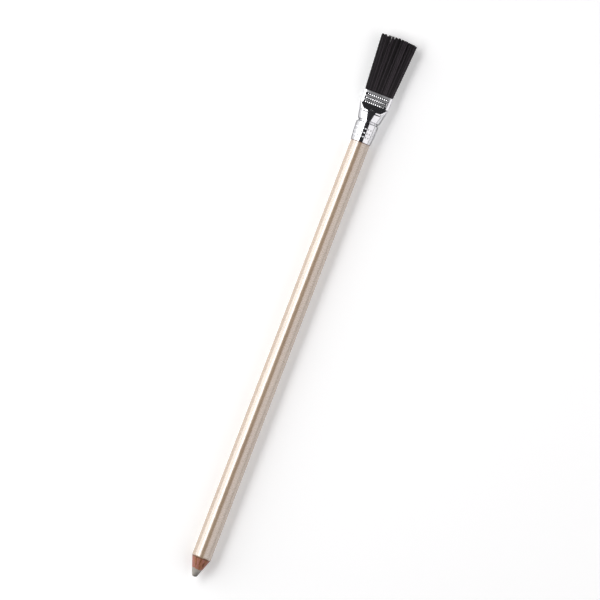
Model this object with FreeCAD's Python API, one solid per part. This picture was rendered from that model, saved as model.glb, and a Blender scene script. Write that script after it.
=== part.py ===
import FreeCAD, Part
import math
import os

from FreeCAD import Vector

# Eraser pencil with a brush: an eraser core in a split wooden casing under a lacquer coat, and a flat tuft of
# bristles crimped into a metal ferrule on the far end. Lengths are in millimetres and angles in degrees.
# The pencil lies along X, its eraser point towards -X and its brush towards +X. Z is up, and the flat of the
# brush lies level. Positions along the pencil, called u, are counted from the ferrule's lower edge towards the
# brush. The finished pieces are moved together, so that the origin is below the middle of the whole pencil.

# Barrel: two grooved slats glued round the core, then lacquered
barrel_diameter = 7.0
barrel_length = 157.0  # lacquered part, from the shoulder of the point to the ferrule
lacquer_thickness = 0.2  # of its many coats together
core_diameter = 3.7
core_glue_film = 0.02
coat_gap = 0.05  # between the end of the lacquer and the ferrule's lower edge

# Sharpened point
point_half_angle = 19.75
tip_diameter = 1.9
tip_dome = 0.3  # how far the worn end bulges

# Ferrule: a thin tube, swaged on the barrel, grooved for a stop and pressed flat at its mouth
ferrule_wall = 0.25
ferrule_clearance = 0.1  # round the wood at the ferrule's lower edge
ferrule_swell = 0.4  # how much further out the tube stands at the groove than at its edge
swage_bend = 2.9  # where the swaged skirt bends, from the edge
swage_bend_swell = 0.27
groove_position = 7.45
groove_width = 1.1
groove_floor = 0.4
stop_overlap = 0.05  # how far the groove's bead reaches in over the end of the barrel
stop_gap = 0.03

# Prick marks round the skirt
prick_rings = 3
pricks_per_ring = 24
first_prick_ring = 2.0
prick_ring_pitch = 1.45
prick_size = 0.5
prick_depth = 0.17
prick_foot = 0.1

# Flared band and crease
crease_position = 10.95
crease_width = 0.5
crease_depth = 0.2
band_thickness = 7.3
band_corner = 3.3

# Pressed shoulder and flat mouth
shoulder_length = 2.55
shoulder_thickness = 6.7
shoulder_corner = 2.95
corner_arcs = 4  # arcs that each rounded corner of a section is drawn with
flat_length = 4.5
mouth_width = 10.9
mouth_flare = 0.22  # how much the flat widens to its mouth, per side
mouth_thickness = 3.0
mouth_corner = 1.1

# Crimp teeth pressed into both sides of the flat
tooth_rows = 3
tooth_columns = 11
tooth_pitch = 0.77
tooth_row_pitch = 1.42
first_tooth_row = 1.3  # from the mouth
tooth_shift = -0.2  # of the whole pattern, across the flat
tooth_width = 0.42
tooth_length = 0.66
tooth_depth = 0.12
tooth_slope = 0.09  # how far each wall of a tooth mark leans in

# Bristles
tuft_length = 21.15  # longest bristle, from the mouth
bristle_bed = 1.4  # how deep the bristles stand in the cement behind the flat
bristle_gauge = 0.32  # across flats
bristle_gap = 0.02
bundle_clearance = 0.05
tuft_width = 14.2  # at its tips, before the locks draw together
tuft_thickness = 3.4
tip_crown = 0.75  # how much shorter the tuft is at its sides
tip_slant = 0.2
tip_ragged = 0.55
tip_scatter = 0.15
lock_count = 11
lock_pull = 0.15  # share by which the tips of a lock draw together

# Cement behind the bristles
cement_clearance = 0.01

# Barrel sizes that follow
barrel_radius = barrel_diameter / 2
wood_radius = barrel_radius - lacquer_thickness
core_radius = core_diameter / 2
tip_radius = tip_diameter / 2
point_slope = math.tan(math.radians(point_half_angle))
shoulder_u = -barrel_length
dome_u = shoulder_u - (barrel_radius - tip_radius) / point_slope
tip_u = dome_u - tip_dome

# Bristle sizes that follow
bristle_corner = bristle_gauge / math.sqrt(3)  # from a bristle's middle to its six corners

# Ferrule sizes that follow
edge_radius = wood_radius + ferrule_clearance + ferrule_wall
tube_radius = edge_radius + ferrule_swell
groove_depth = tube_radius - ferrule_wall - (wood_radius - stop_overlap)
groove_start = groove_position - groove_width / 2
groove_end = groove_position + groove_width / 2
crease_start = crease_position - crease_width / 2
crease_end = crease_position + crease_width / 2
flat_start = crease_end + shoulder_length
ferrule_length = flat_start + flat_length
flat_start_width = mouth_width - 2 * mouth_flare
tuft_end = ferrule_length + tuft_length
butt_u = flat_start - bristle_bed


def line(start, end):
    return Part.LineSegment(start, end).toShape()


def arc(start, middle, end):
    return Part.Arc(start, middle, end).toShape()


def profile_point(u, radius):
    return Vector(u, 0, radius)


def turned(edges, angle=360):
    """The solid that a closed chain of edges sweeps about the pencil's axis."""
    face = Part.Face(Part.Wire(Part.sortEdges(edges)[0]))
    return face.revolve(Vector(0, 0, 0), Vector(1, 0, 0), angle)


def turned_outline(corners, angle=360):
    """The solid of revolution whose half section has straight sides between these (u, radius) corners."""
    points = [profile_point(*corner) for corner in corners]
    edges = [line(start, end) for start, end in zip(points, points[1:] + points[:1])]
    return turned(edges, angle)


def cone_position(radius):
    """Where the sharpened cone has this radius."""
    return dome_u + (radius - tip_radius) / point_slope


def barrel_end():
    """Where the barrel stops inside the ferrule, against the bead that the groove makes there."""
    flank = (groove_width - groove_floor) / 2
    return groove_position - groove_floor / 2 - flank * stop_overlap / groove_depth - stop_gap


def eraser_core():
    """The extruded eraser rod, sharpened with the casing and worn to a dome at its tip."""
    dome_radius = (tip_radius**2 + tip_dome**2) / (2 * tip_dome)
    half_way = math.asin(tip_radius / dome_radius) / 2
    dome_middle = profile_point(
        tip_u + dome_radius * (1 - math.cos(half_way)), dome_radius * math.sin(half_way)
    )
    corners = [
        profile_point(tip_u, 0),
        profile_point(barrel_end(), 0),
        profile_point(barrel_end(), core_radius),
        profile_point(cone_position(core_radius), core_radius),
        profile_point(dome_u, tip_radius),
    ]
    edges = [line(start, end) for start, end in zip(corners, corners[1:])]
    return turned(edges + [arc(corners[-1], dome_middle, corners[0])])


def casing_slat(side):
    """One grooved half of the casing: side is 1 for the upper half and -1 for the lower."""
    groove_radius = core_radius + core_glue_film
    half = turned_outline(
        [
            (barrel_end(), groove_radius),
            (barrel_end(), wood_radius),
            (cone_position(wood_radius), wood_radius),
            (cone_position(groove_radius), groove_radius),
        ],
        180,
    )
    half.rotate(Vector(0, 0, 0), Vector(1, 0, 0), 90 * side - 180)
    return half


def lacquer_coat():
    """The coat of lacquer on the barrel, cut through by the point and ending at the ferrule."""
    return turned_outline(
        [
            (-coat_gap, wood_radius),
            (-coat_gap, barrel_radius),
            (shoulder_u, barrel_radius),
            (cone_position(wood_radius), wood_radius),
        ]
    )


def skirt_corners(inset):
    """(u, radius) corners of the skirt's surface that lies this far inside its outer one."""
    corners = [
        (0, edge_radius),
        (swage_bend, edge_radius + swage_bend_swell),
        (groove_start, tube_radius),
        (groove_position - groove_floor / 2, tube_radius - groove_depth),
        (groove_position + groove_floor / 2, tube_radius - groove_depth),
        (groove_end, tube_radius),
    ]
    return [(u, radius - inset) for u, radius in corners]


def skirt():
    """The round part of the ferrule: swaged skirt, and a groove whose bead stops the barrel."""
    return turned_outline(skirt_corners(0) + skirt_corners(ferrule_wall)[::-1])


def skirt_radius(u):
    """Outer radius of the swaged skirt at this place along it."""
    if u < swage_bend:
        return edge_radius + swage_bend_swell * u / swage_bend
    share = (u - swage_bend) / (groove_start - swage_bend)
    return edge_radius + swage_bend_swell + share * (ferrule_swell - swage_bend_swell)


def ruled_solid(wires):
    """A closed solid through wires whose edges face each other, flat between each pair of straight edges."""
    faces = [Part.Face(wires[0]), Part.Face(wires[-1])]
    for lower, upper in zip(wires, wires[1:]):
        for edge, facing in zip(lower.Edges, upper.Edges):
            if edge.Curve.TypeId == facing.Curve.TypeId == "Part::GeomLine":
                corners = [
                    edge.valueAt(edge.FirstParameter),
                    edge.valueAt(edge.LastParameter),
                    facing.valueAt(facing.LastParameter),
                    facing.valueAt(facing.FirstParameter),
                ]
                faces.append(Part.Face(Part.makePolygon(corners + corners[:1])))
            else:
                faces.append(Part.makeRuledSurface(edge, facing))
    shell = Part.makeShell(faces)
    shell.sewShape()
    solid = Part.makeSolid(shell)
    if solid.Volume < 0:
        solid.reverse()
    return solid


def chain(points, bulges):
    """A closed wire: between two points an arc through the bulge given there, or a straight edge where none is."""
    edges = []
    for start, end, bulge in zip(points, points[1:] + points[:1], bulges):
        edges.append(arc(start, bulge, end) if bulge else line(start, end))
    return Part.Wire(edges)


def spoke(u, radius, angle):
    """A point across the pencil, at this distance and angle from its axis."""
    turn = math.radians(angle)
    return Vector(u, radius * math.cos(turn), radius * math.sin(turn))


def oval_wire(u, width, thickness, corner, facets=0):
    """A rounded rectangle across the pencil, whose corners are short arcs, or this many flat facets each."""
    points = []
    bulges = []
    steps = facets or corner_arcs
    for quarter, (side_y, side_z) in enumerate(((1, 1), (-1, 1), (-1, -1), (1, -1))):
        centre = Vector(0, side_y * (width / 2 - corner), side_z * (thickness / 2 - corner))
        for step in range(steps + 1):
            points.append(centre + spoke(u, corner, 90 * (quarter + step / steps)))
            bulges.append(centre + spoke(u, corner, 90 * (quarter + (step + 0.5) / steps)))
        bulges[-1] = None
    if facets:
        bulges = [None] * len(points)
    return chain(points, bulges)


def round_wire(u, radius, facing):
    """A circle across the pencil, in arcs that face the edges of the oval section given."""
    _, width, thickness, corner = facing
    side = math.degrees(math.atan2(thickness / 2 - corner, width / 2))
    top = math.degrees(math.atan2(thickness / 2, width / 2 - corner))
    angles = []
    for start, end in ((side, top), (180 - top, 180 - side), (180 + side, 180 + top), (360 - top, 360 - side)):
        angles += [start + (end - start) * step / corner_arcs for step in range(corner_arcs + 1)]
    following = angles[1:] + [angles[0] + 360]
    middles = [spoke(u, radius, (angle + after) / 2) for angle, after in zip(angles, following)]
    return chain([spoke(u, radius, angle) for angle in angles], middles)


def outer_width(u):
    """Outer width of the ferrule, from the end of its groove to its mouth."""
    if u < flat_start:
        share = (u - groove_end) / (flat_start - groove_end)
        return 2 * tube_radius + share * (flat_start_width - 2 * tube_radius)
    return flat_start_width + (u - flat_start) / flat_length * (mouth_width - flat_start_width)


def oval_sections(inset):
    """(u, width, thickness, corner) of each section from the crease to the mouth, drawn in by inset."""
    sections = [
        (crease_start, outer_width(crease_start), band_thickness, band_corner),
        (
            crease_position,
            outer_width(crease_position) - 2 * crease_depth,
            (band_thickness + shoulder_thickness) / 2 - 2 * crease_depth,
            (band_corner + shoulder_corner) / 2 - crease_depth,
        ),
        (crease_end, outer_width(crease_end), shoulder_thickness, shoulder_corner),
        (flat_start, flat_start_width, mouth_thickness, mouth_corner),
        (ferrule_length, mouth_width, mouth_thickness, mouth_corner),
    ]
    return [
        (u, width - 2 * inset, thickness - 2 * inset, corner - inset)
        for u, width, thickness, corner in sections
    ]


def oval_block(inset):
    """The solid inside the flared and pressed part of the ferrule's outline, drawn in by inset."""
    sections = oval_sections(inset)
    tube_end = round_wire(groove_end, tube_radius - inset, sections[0])
    return ruled_solid([tube_end] + [oval_wire(*section) for section in sections])


def punch(mouth_size, foot_size, mouth_height, foot_height):
    """A four-sided tapering plug: sizes are (along, across) at its mouth above and at its foot below."""
    wires = []
    for (along, across), height in ((mouth_size, mouth_height), (foot_size, foot_height)):
        u = along / 2
        v = across / 2
        corners = [(-u, -v), (u, -v), (u, v), (-u, v), (-u, -v)]
        wires.append(Part.makePolygon([Vector(x, y, height) for x, y in corners]))
    return ruled_solid(wires)


def tooth_marks():
    """Punches for the teeth that both sides of the flat show, wherever one fits on the flat."""
    proud = tooth_depth / 2
    spread = 2 * tooth_slope * (1 + proud / tooth_depth)
    foot = (tooth_length - 2 * tooth_slope, tooth_width - 2 * tooth_slope)
    mouth = (foot[0] + spread, foot[1] + spread)
    tooth = punch(mouth, foot, proud, -tooth_depth)
    marks = []
    for row in range(tooth_rows):
        along = ferrule_length - first_tooth_row - row * tooth_row_pitch
        flat_edge = outer_width(along) / 2 - mouth_corner
        for column in range(tooth_columns):
            across = tooth_shift + (column - (tooth_columns - 1) / 2) * tooth_pitch
            if abs(across) + tooth_width / 2 < flat_edge:
                mark = tooth.translated(Vector(along, across, mouth_thickness / 2))
                under = mark.rotated(Vector(0, 0, 0), Vector(1, 0, 0), 180)
                marks += [mark, under]
    return marks


def prick_marks():
    """Punches for the rings of prick marks round the skirt."""
    proud = prick_depth / 2
    foot = (prick_foot, prick_foot)
    size = prick_foot + (prick_size - prick_foot) * (1 + proud / prick_depth)
    prick = punch((size, size), foot, proud, -prick_depth)
    marks = []
    for ring in range(prick_rings):
        along = first_prick_ring + ring * prick_ring_pitch
        mark = prick.translated(Vector(along, 0, skirt_radius(along)))
        for count in range(pricks_per_ring):
            angle = 360 * count / pricks_per_ring
            marks.append(mark.rotated(Vector(0, 0, 0), Vector(1, 0, 0), angle))
    return marks


def ferrule():
    """The whole pressed tube: pricked skirt, groove, flared band, crease, shoulder and crimped flat mouth."""
    round_part = skirt().cut(prick_marks())
    oval_part = oval_block(0).cut(oval_block(ferrule_wall)).cut(tooth_marks())
    return round_part.fuse(oval_part).removeSplitter()


def bundle_half_sizes(u):
    """Half width and half thickness of the bristle bundle, which spreads in straight lines through the mouth."""
    inset = ferrule_wall + bundle_clearance
    half_width = mouth_width / 2 - inset
    half_thickness = mouth_thickness / 2 - inset
    share = (u - ferrule_length) / tuft_length
    return (
        half_width + share * (tuft_width / 2 - half_width),
        half_thickness + share * (tuft_thickness / 2 - half_thickness),
    )


def bristle_cement():
    """The cast plug that fills the pressed shoulder, with the pocket that the bristles stand in."""
    _, _, shoulder, flat, _ = oval_sections(ferrule_wall + cement_clearance)
    plug = ruled_solid([oval_wire(*shoulder, facets=2), oval_wire(*flat, facets=2)])
    pocket_wires = []
    for u in (butt_u, ferrule_length):
        half_width, half_thickness = bundle_half_sizes(u)
        pocket_wires.append(oval_wire(u, 2 * half_width, 2 * half_thickness, 0.9 * half_thickness))
    return plug.cut(ruled_solid(pocket_wires))


def scatter(first, second):
    """A fixed number from 0 to 1 for a pair of counts, which looks random from one bristle to the next."""
    value = math.sin(12.9898 * first + 78.233 * second) * 43758.5453
    return value - math.floor(value)


def lock_of(y):
    """Which lock, counted across the tuft, a bristle with its butt at y belongs to."""
    butt_half, _ = bundle_half_sizes(butt_u)
    return min(lock_count - 1, int((y / butt_half + 1) / 2 * lock_count))


def bristle(y, z, chance):
    """One filament, a six-sided rod from its butt at (y, z) in the cement to its tip."""
    butt_half, butt_thick = bundle_half_sizes(butt_u)
    tip_half, tip_thick = bundle_half_sizes(tuft_end)
    lock_width = 2 * tip_half / lock_count
    lock_middle = (lock_of(y) + 0.5) * lock_width - tip_half
    fanned_y = y * (tip_half - bristle_corner) / (butt_half - bristle_corner)
    tip_y = fanned_y + lock_pull * (lock_middle - fanned_y)
    tip_z = z * tip_thick / butt_thick
    side = fanned_y / tip_half
    off_middle = 2 * (fanned_y - lock_middle) / lock_width
    ragged = tip_ragged * (1 + side) / 2 * off_middle**2
    reach = tuft_end - max(0, tip_crown * side**2 + tip_slant * side) - ragged - tip_scatter * chance
    corners = [spoke(butt_u, bristle_corner, 60 * count + 30) + Vector(0, y, z) for count in range(7)]
    return Part.Face(Part.makePolygon(corners)).extrude(Vector(reach - butt_u, tip_y - y, tip_z - z))


def bristle_locks():
    """All bristles, close-packed in the bundle's rounded section and sorted into locks across the tuft."""
    butt_half, butt_thick = bundle_half_sizes(butt_u)
    row_pitch = (bristle_gauge + bristle_gap) * math.sqrt(3) / 2
    rows = int((butt_thick - bristle_corner) / row_pitch)
    middle_room = butt_half - bristle_corner
    columns = int(middle_room / (bristle_gauge + bristle_gap))
    pitch = middle_room / columns
    locks = [[] for _ in range(lock_count)]
    for row in range(-rows, rows + 1):
        z = row * row_pitch
        room = middle_room - butt_thick + math.sqrt(butt_thick**2 - z**2)
        for column in range(-columns - 1, columns + 1):
            y = (column + row % 2 / 2) * pitch
            if abs(y) < room + bristle_gap:
                locks[lock_of(y)].append(bristle(y, z, scatter(column, row)))
    return locks


def pieces():
    """All nodes by name, each with the separate solids that it holds."""
    named = {
        "eraser_core": [eraser_core()],
        "casing_slat_upper": [casing_slat(1)],
        "casing_slat_lower": [casing_slat(-1)],
        "lacquer_coat": [lacquer_coat()],
        "ferrule": [ferrule()],
        "bristle_cement": [bristle_cement()],
    }
    for number, lock in enumerate(bristle_locks(), start=1):
        named[f"bristle_lock_{number:02d}"] = lock
    return named


def main():
    os.makedirs("parts", exist_ok=True)
    named = pieces()
    reach = max(shape.BoundBox.XMax for shapes in named.values() for shape in shapes)
    to_row_frame = Vector(-(tip_u + reach) / 2, 0, tube_radius)
    for name, shapes in named.items():
        moved = [shape.translated(to_row_frame) for shape in shapes]
        node = moved[0] if len(moved) == 1 else Part.makeCompound(moved)
        node.exportStep(os.path.join("parts", name + ".step"))
        print(f"{name}: {len(node.Solids)} solids, {node.Volume:.2f} mm3, valid {node.isValid()}")
    print(f"origin from the ferrule's lower edge: {-to_row_frame.x:.4f}, axis height {tube_radius:.4f}")


main()
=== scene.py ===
import math

import bmesh
import bpy
import numpy as np
from bpy.props import FloatProperty, FloatVectorProperty, IntProperty, PointerProperty
from mathutils import Matrix, Vector, noise


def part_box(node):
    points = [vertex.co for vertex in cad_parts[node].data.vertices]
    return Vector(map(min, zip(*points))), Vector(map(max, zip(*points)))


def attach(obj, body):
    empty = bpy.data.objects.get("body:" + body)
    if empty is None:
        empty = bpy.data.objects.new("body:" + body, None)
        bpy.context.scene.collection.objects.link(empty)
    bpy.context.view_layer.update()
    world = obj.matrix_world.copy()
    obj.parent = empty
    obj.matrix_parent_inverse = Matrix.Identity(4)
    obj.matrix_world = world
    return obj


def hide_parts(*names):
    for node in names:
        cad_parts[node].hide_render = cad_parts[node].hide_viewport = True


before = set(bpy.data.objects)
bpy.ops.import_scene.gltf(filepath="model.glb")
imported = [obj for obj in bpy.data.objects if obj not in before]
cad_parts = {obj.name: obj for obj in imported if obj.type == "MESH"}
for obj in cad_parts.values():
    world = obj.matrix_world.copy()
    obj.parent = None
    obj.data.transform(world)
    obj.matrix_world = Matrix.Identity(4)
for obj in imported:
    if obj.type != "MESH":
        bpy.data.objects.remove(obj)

bl_info = {
    "name": "Eraser Pencil with Brush",
    "version": (1, 0, 0),
    "blender": (4, 5, 0),
    "location": "View3D > Sidebar > Eraser Pencil",
    "description": "Lacquered eraser pencil with a worn point and a flat brush crimped in a metal ferrule",
    "category": "Object",
}

MM = 0.001
TURN = 2 * math.pi
WHITE = (1.0, 1.0, 1.0)
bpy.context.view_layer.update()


def box_mm(node):
    """Lowest and highest corner of a CAD node, in mm."""
    low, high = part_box(node)
    return np.array(low) / MM, np.array(high) / MM


# Main places of the frame, in mm. The pencil lies along X, and u counts from the ferrule's lower edge
COAT_LOW, COAT_HIGH = box_mm("lacquer_coat")
CORE_LOW, CORE_HIGH = box_mm("eraser_core")
CASING_LOW, CASING_HIGH = box_mm("casing_slat_upper")
FERRULE_LOW, FERRULE_HIGH = box_mm("ferrule")
LOCK_COUNT = sum(1 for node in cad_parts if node.startswith("bristle_lock_"))
LOCKS = [f"bristle_lock_{number:02d}" for number in range(1, LOCK_COUNT + 1)]
TUFT_LOW = np.min([box_mm(lock)[0] for lock in LOCKS], axis=0)
TUFT_HIGH = np.max([box_mm(lock)[1] for lock in LOCKS], axis=0)
EDGE_X = FERRULE_LOW[0]
AXIS_HEIGHT = (COAT_LOW[2] + COAT_HIGH[2]) / 2
PENCIL_ORIGIN = np.array([EDGE_X, 0.0, AXIS_HEIGHT])

BARREL_RADIUS = (COAT_HIGH[2] - COAT_LOW[2]) / 2
WOOD_RADIUS = CASING_HIGH[2] - AXIS_HEIGHT
CORE_RADIUS = (CORE_HIGH[2] - CORE_LOW[2]) / 2
COAT_START_U = COAT_LOW[0] - EDGE_X
COAT_END_U = COAT_HIGH[0] - EDGE_X
TIP_U = CORE_LOW[0] - EDGE_X
BARREL_END_U = CORE_HIGH[0] - EDGE_X
CASING_START_U = CASING_LOW[0] - EDGE_X
MOUTH_U = FERRULE_HIGH[0] - EDGE_X
BUTT_U = TUFT_LOW[0] - EDGE_X
TUFT_END_U = TUFT_HIGH[0] - EDGE_X
# The sharpened cone runs through the casing's edge round the core and through the foot of the lacquer's cut
CONE_SLOPE = (WOOD_RADIUS - CORE_RADIUS) / (COAT_START_U - CASING_START_U)
# The clear lacquer's thickness. Its ground coat lies under that and shows on the cut
GLOSS_THICKNESS = 0.07
GROUND_RADIUS = BARREL_RADIUS - GLOSS_THICKNESS
SHOULDER_U = COAT_START_U + (BARREL_RADIUS - WOOD_RADIUS) / CONE_SLOPE


def mm_property(name, description, default):
    """A length that is shown and kept in millimetres."""
    return FloatProperty(name=name, description=description + ", in mm", default=default)


def metre_property(name, description, default):
    """A length of the stage, in metres."""
    return FloatProperty(name=name, description=description, default=default, unit="LENGTH")


def number_property(name, description, default):
    return FloatProperty(name=name, description=description, default=default)


def count_property(name, description, default):
    return IntProperty(name=name, description=description, default=default)


def colour_property(name, description, default):
    return FloatVectorProperty(
        name=name, description=description, default=default, subtype="COLOR", size=3, min=0, max=1
    )


class PointSettings(bpy.types.PropertyGroup):
    """Sharpened point: the casing's cone and the worn eraser core."""

    tip_radius: mm_property("Tip radius", "Radius of the core where its worn dome begins", 0.95)
    tip_dome: mm_property("Tip dome", "How far the worn tip bulges", 0.3)
    tip_wear: mm_property("Tip wear", "Depth of the dents that rubbing has left in the tip", 0.09)
    ragged_edge: mm_property("Ragged edge", "How unevenly the wood ends round the core", 0.32)
    cutter_marks: mm_property("Cutter marks", "Depth of the marks that the sharpener left", 0.012)
    core_colour: colour_property("Core", "Grey-white eraser stock", (0.44, 0.41, 0.37))
    # Its colour is also painted shade on the tip's side away from the key lamp.
    smudge_and_shade_colour: colour_property("Smudge", "Rubbed-in dirt on the tip", (0.17, 0.155, 0.14))
    cedar_light: colour_property("Light cedar", "Mauve early wood", (0.44, 0.19, 0.16))
    cedar_warm: colour_property("Warm cedar", "Orange-brown wood between", (0.42, 0.18, 0.085))
    cedar_dark: colour_property("Dark cedar", "Late wood", (0.2, 0.075, 0.045))


class LacquerSettings(bpy.types.PropertyGroup):
    """Lacquer coat round the barrel."""

    chipping: mm_property("Chipping", "How unevenly the cut edge of the lacquer runs", 0.16)
    end_rounding: mm_property("End rounding", "Rounding of the lacquer's end at the ferrule", 0.13)
    colour: colour_property("Colour", "Champagne lacquer", (0.46, 0.315, 0.195))
    pearl: colour_property("Pearl", "Lighter tone of the pearl pigment", (0.50, 0.35, 0.22))
    # The ground coat's colour also paints a thin band of shade on the lacquer at the ferrule's lower edge.
    ground: colour_property("Ground", "Ground coat that the cut edge shows", (0.26, 0.12, 0.075))


class FerruleSettings(bpy.types.PropertyGroup):
    """Pressed metal ferrule."""

    wall: mm_property("Wall", "Thickness of the sheet", 0.25)
    edge_radius: mm_property("Edge radius", "Outer radius at the lower edge", 3.65)
    tube_radius: mm_property("Tube radius", "Outer radius of the swaged tube", 4.05)
    bend: mm_property("Bend", "Where the swaged skirt bends, from the lower edge", 2.9)
    bend_radius: mm_property("Bend radius", "Outer radius at the bend", 3.92)
    groove: mm_property("Groove", "Place of the stop groove", 7.45)
    groove_width: mm_property("Groove width", "Width of the stop groove", 1.1)
    groove_floor: mm_property("Groove floor", "Width of the stop groove's floor", 0.4)
    groove_depth: mm_property("Groove depth", "Depth of the stop groove", 0.55)
    crease: mm_property("Crease", "Place of the crease under the pressed shoulder", 11.0)
    crease_width: mm_property("Crease width", "Width of the crease", 0.84)
    crease_depth: mm_property("Crease depth", "Depth of the crease", 0.19)
    band_thickness: mm_property("Band thickness", "Thickness just under the crease", 7.28)
    crease_thickness: mm_property("Crease thickness", "Thickness at the crease, before its depth", 7.2)
    shoulder_thickness: mm_property("Shoulder thickness", "Thickness just over the crease", 6.88)
    shoulder_bend: mm_property("Shoulder bend", "Where the shoulder bends, from the crease's end", 0.8)
    shoulder_bend_thickness: mm_property("Shoulder bend thickness", "Thickness at that bend", 5.4)
    flat_length: mm_property("Flat length", "Length of the flat mouth", 4.5)
    mouth_width: mm_property("Mouth width", "Width of the mouth", 10.9)
    mouth_flare: mm_property("Mouth flare", "How far each side flares over the flat's length", 0.22)
    mouth_thickness: mm_property("Mouth thickness", "Thickness of the mouth", 3.0)
    edge_rounding: mm_property("Edge rounding", "Rounding of both edges", 0.14)
    band_power: number_property("Band roundness", "Power of the superellipse at the crease", 2.2)
    flat_power: number_property("Flat roundness", "Power of the superellipse at the flat mouth", 5.0)
    prick_depth: mm_property("Prick depth", "Depth of the prick marks", 0.16)
    prick_size: mm_property("Prick size", "Width of a prick mark", 0.62)
    prick_rings: count_property("Prick rings", "Rings of prick marks", 3)
    pricks_per_ring: count_property("Pricks per ring", "Prick marks in a ring", 24)
    first_prick_ring: mm_property("First prick ring", "Place of the lowest ring of prick marks", 2.0)
    prick_ring_pitch: mm_property("Prick ring pitch", "Distance between rings of prick marks", 1.45)
    tooth_depth: mm_property("Tooth depth", "Depth of the crimp teeth", 0.085)
    tooth_length: mm_property("Tooth length", "Length of a crimp tooth along the pencil", 0.84)
    tooth_width: mm_property("Tooth width", "Width of a crimp tooth", 0.34)
    tooth_rows: count_property("Tooth rows", "Rows of crimp teeth on each flat", 3)
    tooth_columns: count_property("Tooth columns", "Crimp teeth in the longest row", 11)
    first_tooth_row: mm_property("First tooth row", "Place of the highest row, from the mouth", 1.3)
    tooth_row_pitch: mm_property("Tooth row pitch", "Distance between rows of teeth", 1.42)
    tooth_pitch: mm_property("Tooth pitch", "Distance between teeth in a row", 0.77)
    tooth_shift: mm_property("Tooth shift", "How far the rows stand off the middle", -0.2)
    tooth_margin: mm_property("Tooth margin", "Nearest place of a tooth to the mouth's side", 1.33)
    polished_strip: mm_property("Polished strip", "Width of the polished strip along each row", 0.76)
    colour: colour_property("Colour", "Bright plated metal", (0.77, 0.77, 0.79))


class TuftSettings(bpy.types.PropertyGroup):
    """Flat tuft of bristles."""

    filament: mm_property("Filament", "Thickness of one filament", 0.14)
    spacing: mm_property("Spacing", "Distance between filaments at their butts", 0.152)
    mouth_half_width: mm_property("Mouth half width", "Half width of the bundle in the mouth", 5.19)
    mouth_half_thickness: mm_property("Mouth half thickness", "Half thickness in the mouth", 1.2)
    tip_half_width: mm_property("Tip half width", "Half width of the fan at its tips", 6.98)
    tip_half_thickness: mm_property("Tip half thickness", "Half thickness at the tips", 1.75)
    crown: mm_property("Crown", "How much shorter the fan is at its sides", 0.62)
    slant: mm_property("Slant", "How much shorter the worn side is than the other", 0.13)
    raggedness: mm_property("Raggedness", "Depth of the notches between worn locks", 1.5)
    scatter: mm_property("Scatter", "Unevenness of the filaments' lengths", 0.16)
    gathering: FloatProperty(
        name="Gathering",
        description="Share by which the tips of a worn lock draw together",
        default=0.16,
        subtype="FACTOR",
        min=0,
        max=1,
    )
    colour: colour_property("Colour", "Near-black filament", (0.012, 0.0095, 0.0115))
    seed: count_property("Seed", "Seed of the filaments' unevenness", 19)


class StudioSettings(bpy.types.PropertyGroup):
    """Floor, lamps and camera."""

    camera_height: metre_property("Camera height", "Height of the lens above the floor", 1.5)
    seen_width: metre_property("Seen width", "What the picture spans at the height of the axis", 0.2121)
    camera_x: metre_property("Camera X", "Place of the lens along the pencil", 0.00278)
    pencil_lean: FloatProperty(
        name="Pencil lean",
        description="Angle of the pencil from upright in the picture",
        default=math.radians(20.965),
        subtype="ANGLE",
    )
    key_radiance: number_property("Key lamp", "Radiance of the long lamp high on the left", 4.7)
    side_radiance: number_property("Side lamp", "Radiance of the long lamp low on the left", 2.1)
    fill_radiance: number_property("Fill lamp", "Radiance of the long lamp on the right", 1.15)
    fill_colour: colour_property("Fill colour", "Colour of the lamp on the right", (1.0, 0.98, 0.99))
    lamp_distance: metre_property("Lamp distance", "How far the lamps stand from the pencil", 0.62)
    lamp_length: metre_property("Lamp length", "Length of the lamps along the pencil", 0.75)
    lamp_x: metre_property("Lamp X", "Place of the lamps' middle along the pencil", 0.04)
    floor_half_width: metre_property("Floor half width", "Half of the floor's width", 3.0)
    floor_colour: colour_property("Floor", "Pale floor", (0.92, 0.92, 0.92))
    floor_glow: number_property("Floor glow", "How much paler the floor is seen than it is lit", 0.26)


class PencilSettings(bpy.types.PropertyGroup):
    """All settings of the eraser pencil."""

    point: PointerProperty(type=PointSettings)
    lacquer: PointerProperty(type=LacquerSettings)
    ferrule: PointerProperty(type=FerruleSettings)
    tuft: PointerProperty(type=TuftSettings)
    studio: PointerProperty(type=StudioSettings)


def fill_socket(tree, socket, value):
    """Links an input to the socket that value is, or sets it to the value."""
    if isinstance(value, bpy.types.NodeSocket):
        tree.links.new(value, socket)
    else:
        socket.default_value = value


def fill_inputs(tree, node, **values):
    """Fills the inputs of a node by name, with _ for a space."""
    for name, value in values.items():
        fill_socket(tree, node.inputs[name.replace("_", " ")], value)


def add_node(tree, kind, settings=None, **values):
    """A shader node. settings are its properties, and values fill its inputs."""
    node = tree.nodes.new("ShaderNode" + kind)
    for name, value in (settings or {}).items():
        setattr(node, name, value)
    fill_inputs(tree, node, **values)
    return node


def new_material(name, **values):
    """A material with one Principled shader, whose inputs have these values, and its tree and shader."""
    material = bpy.data.materials.new(name)
    material.use_nodes = True
    tree = material.node_tree
    tree.nodes.clear()
    shader = add_node(tree, "BsdfPrincipled", **values)
    add_node(tree, "OutputMaterial", Surface=shader.outputs["BSDF"])
    return material, tree, shader


def rgba(colour):
    return (*colour, 1.0)


def toned(colour, share):
    """A colour with this share of its brightness."""
    return [share * part for part in colour]


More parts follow.
